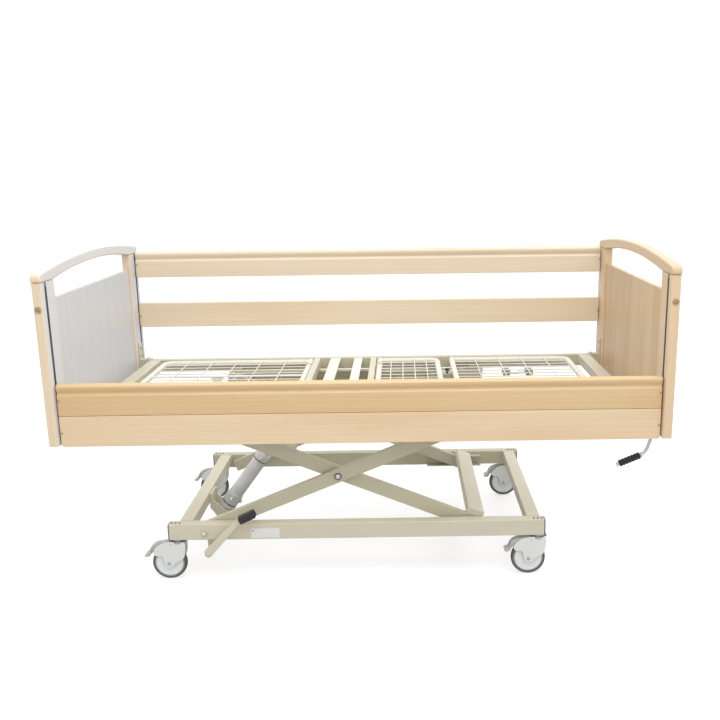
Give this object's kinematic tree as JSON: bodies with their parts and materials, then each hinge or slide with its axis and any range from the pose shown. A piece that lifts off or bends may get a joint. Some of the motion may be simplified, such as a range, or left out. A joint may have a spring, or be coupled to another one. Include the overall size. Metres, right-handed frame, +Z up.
{
  "type": "adjustable hospital bed",
  "caption": "Height-adjustable care bed with a scissor lift, foot pump, hinged wire-mesh sections, sliding wooden side rails and braked casters",
  "frame": {"origin": "on the floor under the middle of the bed", "axes": "+X toward the foot end, +Y toward the far long side, +Z up"},
  "size_m": [2.127, 1.038, 1.179],
  "materials": {
    "rail_wood": "clear satin lacquer over pale beech",
    "board_wood": "clear satin lacquer over pale beech",
    "caster_housing": "light grey moulded",
    "caster_wheel": "grey disc with a dark tread",
    "caster_pedal": "mid grey moulded",
    "black_grip": "ribbed black rubber",
    "cylinder_steel": "dull bright steel",
    "bright_steel": "plated steel",
    "frame_paint": "pebble beige powder coat"
  },
  "bodies": {
    "base": {"base_rail_near": "frame_paint", "base_rail_far": "frame_paint", "base_cross_head": "frame_paint", "base_cross_foot": "frame_paint", "pump_bracket": "frame_paint"},
    "arms_outer": {"arm_outer_near": "frame_paint", "arm_outer_far": "frame_paint"},
    "arms_inner": {"arm_inner_near": "frame_paint", "arm_inner_far": "frame_paint", "arm_inner_cross": "frame_paint", "lift_tube": "frame_paint"},
    "bed": {"bed_side_near": "frame_paint", "bed_side_far": "frame_paint", "bed_end_head": "frame_paint", "bed_end_foot": "frame_paint", "lift_rail_near": "frame_paint", "lift_rail_far": "frame_paint", "bed_cross_back": "frame_paint", "bed_cross_thigh": "frame_paint", "seat_slat_a": "frame_paint", "seat_slat_b": "frame_paint", "post_head_near": "board_wood", "post_head_far": "board_wood", "cap_head": "board_wood", "panel_head": "board_wood", "post_foot_near": "board_wood", "post_foot_far": "board_wood", "cap_foot": "board_wood", "panel_foot": "board_wood"},
    "roller_upper": {"roller_axle_upper": "bright_steel"},
    "roller_lower": {"roller_axle_lower": "bright_steel"},
    "cylinder": {"pump_cylinder": "cylinder_steel"},
    "piston": {"pump_rod": "bright_steel"},
    "lever": {"pump_lever": "frame_paint", "pump_grip": "black_grip"},
    "fork_head_near": {"caster_fork_head_near": "caster_housing"},
    "wheel_head_near": {"caster_wheel_head_near": "caster_wheel"},
    "pedal_head_near": {"caster_pedal_head_near": "caster_pedal"},
    "fork_head_far": {"caster_fork_head_far": "caster_housing"},
    "wheel_head_far": {"caster_wheel_head_far": "caster_wheel"},
    "pedal_head_far": {"caster_pedal_head_far": "caster_pedal"},
    "fork_foot_near": {"caster_fork_foot_near": "caster_housing"},
    "wheel_foot_near": {"caster_wheel_foot_near": "caster_wheel"},
    "pedal_foot_near": {"caster_pedal_foot_near": "caster_pedal"},
    "fork_foot_far": {"caster_fork_foot_far": "caster_housing"},
    "wheel_foot_far": {"caster_wheel_foot_far": "caster_wheel"},
    "pedal_foot_far": {"caster_pedal_foot_far": "caster_pedal"},
    "back": {"section_back": "frame_paint"},
    "thigh": {"section_thigh": "frame_paint"},
    "leg": {"section_leg": "frame_paint"},
    "rail_upper_near": {"siderail_upper_near": "rail_wood"},
    "rail_lower_near": {"siderail_lower_near": "rail_wood"},
    "rail_upper_far": {"siderail_upper_far": "rail_wood"},
    "rail_lower_far": {"siderail_lower_far": "rail_wood"},
    "button_head_near": {"release_head_near": "bright_steel"},
    "button_head_far": {"release_head_far": "bright_steel"},
    "button_foot_near": {"release_foot_near": "bright_steel"},
    "button_foot_far": {"release_foot_far": "bright_steel"},
    "crank": {"crank_handle": "bright_steel"},
    "crank_grip": {"crank_grip": "black_grip"}
  },
  "joints": [
    {"name": "height", "type": "hinge", "parent": "base", "child": "arms_outer", "pos_m": [-0.584, 0, 0.18], "axis": [0, -1, 0], "range_deg": [-11.3, 12.3]},
    {"name": "scissor_cross", "type": "hinge", "parent": "arms_outer", "child": "arms_inner", "pos_m": [-0.09453, 0, 0.378], "axis": [0, -1, 0], "range_deg": [-24.7, 22.7]},
    {"name": "bed_level", "type": "hinge", "parent": "arms_inner", "child": "bed", "pos_m": [-0.584, 0, 0.576], "axis": [0, -1, 0], "range_deg": [-11.4, 12.4]},
    {"name": "roller_upper_turn", "type": "hinge", "parent": "arms_outer", "child": "roller_upper", "pos_m": [0.39494, 0, 0.576], "axis": [0, 1, 0], "continuous": true},
    {"name": "roller_lower_turn", "type": "hinge", "parent": "arms_inner", "child": "roller_lower", "pos_m": [0.39494, 0, 0.18], "axis": [0, 1, 0], "continuous": true},
    {"name": "pump_tilt", "type": "hinge", "parent": "base", "child": "cylinder", "pos_m": [-0.587, -0.05, 0.124], "axis": [0, -1, 0], "range_deg": [-13.41, 14.56]},
    {"name": "pump_stroke", "type": "slide", "parent": "cylinder", "child": "piston", "axis": [0.5963, 0, 0.8028], "range_m": [-0.0996, 0.1083]},
    {"name": "pump_pedal", "type": "hinge", "parent": "base", "child": "lever", "pos_m": [-0.566, -0.435, 0.116], "axis": [0, 1, 0], "range_deg": [0, 35], "stiffness_Nm_per_rad": 4, "springref_deg": -63.03},
    {"name": "swivel_head_near", "type": "hinge", "parent": "base", "child": "fork_head_near", "pos_m": [-0.685, -0.385, 0.155], "axis": [0, 0, 1], "continuous": true},
    {"name": "wheel_head_near", "type": "hinge", "parent": "fork_head_near", "child": "wheel_head_near", "pos_m": [-0.72, -0.385, 0.063], "axis": [0, 1, 0], "continuous": true},
    {"name": "brake_head_near", "type": "hinge", "parent": "fork_head_near", "child": "pedal_head_near", "pos_m": [-0.712, -0.385, 0.139], "axis": [0, -1, 0], "range_deg": [0, 6]},
    {"name": "swivel_head_far", "type": "hinge", "parent": "base", "child": "fork_head_far", "pos_m": [-0.685, 0.385, 0.155], "axis": [0, 0, 1], "continuous": true},
    {"name": "wheel_head_far", "type": "hinge", "parent": "fork_head_far", "child": "wheel_head_far", "pos_m": [-0.72, 0.385, 0.063], "axis": [0, 1, 0], "continuous": true},
    {"name": "brake_head_far", "type": "hinge", "parent": "fork_head_far", "child": "pedal_head_far", "pos_m": [-0.712, 0.385, 0.139], "axis": [0, -1, 0], "range_deg": [0, 6]},
    {"name": "swivel_foot_near", "type": "hinge", "parent": "base", "child": "fork_foot_near", "pos_m": [0.633, -0.385, 0.155], "axis": [0, 0, 1], "continuous": true},
    {"name": "wheel_foot_near", "type": "hinge", "parent": "fork_foot_near", "child": "wheel_foot_near", "pos_m": [0.598, -0.385, 0.063], "axis": [0, 1, 0], "continuous": true},
    {"name": "brake_foot_near", "type": "hinge", "parent": "fork_foot_near", "child": "pedal_foot_near", "pos_m": [0.606, -0.385, 0.139], "axis": [0, -1, 0], "range_deg": [0, 6]},
    {"name": "swivel_foot_far", "type": "hinge", "parent": "base", "child": "fork_foot_far", "pos_m": [0.633, 0.385, 0.155], "axis": [0, 0, 1], "continuous": true},
    {"name": "wheel_foot_far", "type": "hinge", "parent": "fork_foot_far", "child": "wheel_foot_far", "pos_m": [0.598, 0.385, 0.063], "axis": [0, 1, 0], "continuous": true},
    {"name": "brake_foot_far", "type": "hinge", "parent": "fork_foot_far", "child": "pedal_foot_far", "pos_m": [0.606, 0.385, 0.139], "axis": [0, -1, 0], "range_deg": [0, 6]},
    {"name": "backrest", "type": "hinge", "parent": "bed", "child": "back", "pos_m": [-0.262, 0, 0.63], "axis": [0, 1, 0], "range_deg": [0, 70]},
    {"name": "thigh_rest", "type": "hinge", "parent": "bed", "child": "thigh", "pos_m": [0.045, 0, 0.63], "axis": [0, -1, 0], "range_deg": [0, 35]},
    {"name": "knee", "type": "hinge", "parent": "thigh", "child": "leg", "pos_m": [0.3315, 0, 0.63], "axis": [0, -1, 0], "range_deg": [-53, 0]},
    {"name": "side_rail_near", "type": "slide", "parent": "bed", "child": "rail_upper_near", "axis": [0, 0, 1], "range_m": [0, 0.351]},
    {"name": "side_rail_lower_near", "type": "slide", "parent": "bed", "child": "rail_lower_near", "axis": [0, 0, 1], "range_m": [0, 0.2375]},
    {"name": "side_rail_far", "type": "slide", "parent": "bed", "child": "rail_upper_far", "axis": [0, 0, 1], "range_m": [-0.351, 0]},
    {"name": "side_rail_lower_far", "type": "slide", "parent": "bed", "child": "rail_lower_far", "axis": [0, 0, 1], "range_m": [-0.2375, 0]},
    {"name": "release_head_near", "type": "slide", "parent": "bed", "child": "button_head_near", "axis": [0, 1, 0], "range_m": [0, 0.0045], "stiffness_N_per_m": 400, "springref_m": -0.003},
    {"name": "release_head_far", "type": "slide", "parent": "bed", "child": "button_head_far", "axis": [0, -1, 0], "range_m": [0, 0.0045], "stiffness_N_per_m": 400, "springref_m": -0.003},
    {"name": "release_foot_near", "type": "slide", "parent": "bed", "child": "button_foot_near", "axis": [0, 1, 0], "range_m": [0, 0.0045], "stiffness_N_per_m": 400, "springref_m": -0.003},
    {"name": "release_foot_far", "type": "slide", "parent": "bed", "child": "button_foot_far", "axis": [0, -1, 0], "range_m": [0, 0.0045], "stiffness_N_per_m": 400, "springref_m": -0.003},
    {"name": "crank_fold", "type": "hinge", "parent": "bed", "child": "crank", "pos_m": [1.04, -0.37, 0.528], "axis": [0, -1, 0], "range_deg": [0, 90]},
    {"name": "crank_grip_turn", "type": "hinge", "parent": "crank", "child": "crank_grip", "pos_m": [0.9985, -0.37, 0.4452], "axis": [-0.9228, 0, -0.3853], "continuous": true}
  ],
  "couplings": [
    {"joint": "scissor_cross", "follows": "height", "ratio": -2},
    {"joint": "bed_level", "follows": "height", "ratio": 1},
    {"joint": "pump_tilt", "follows": "height", "ratio": 1.15},
    {"joint": "pump_stroke", "follows": "height", "m_per_rad": 0.495},
    {"joint": "knee", "follows": "thigh_rest", "ratio": -1.503},
    {"joint": "side_rail_lower_near", "follows": "side_rail_near", "ratio": 0.67521},
    {"joint": "side_rail_lower_far", "follows": "side_rail_far", "ratio": 0.67521}
  ]
}
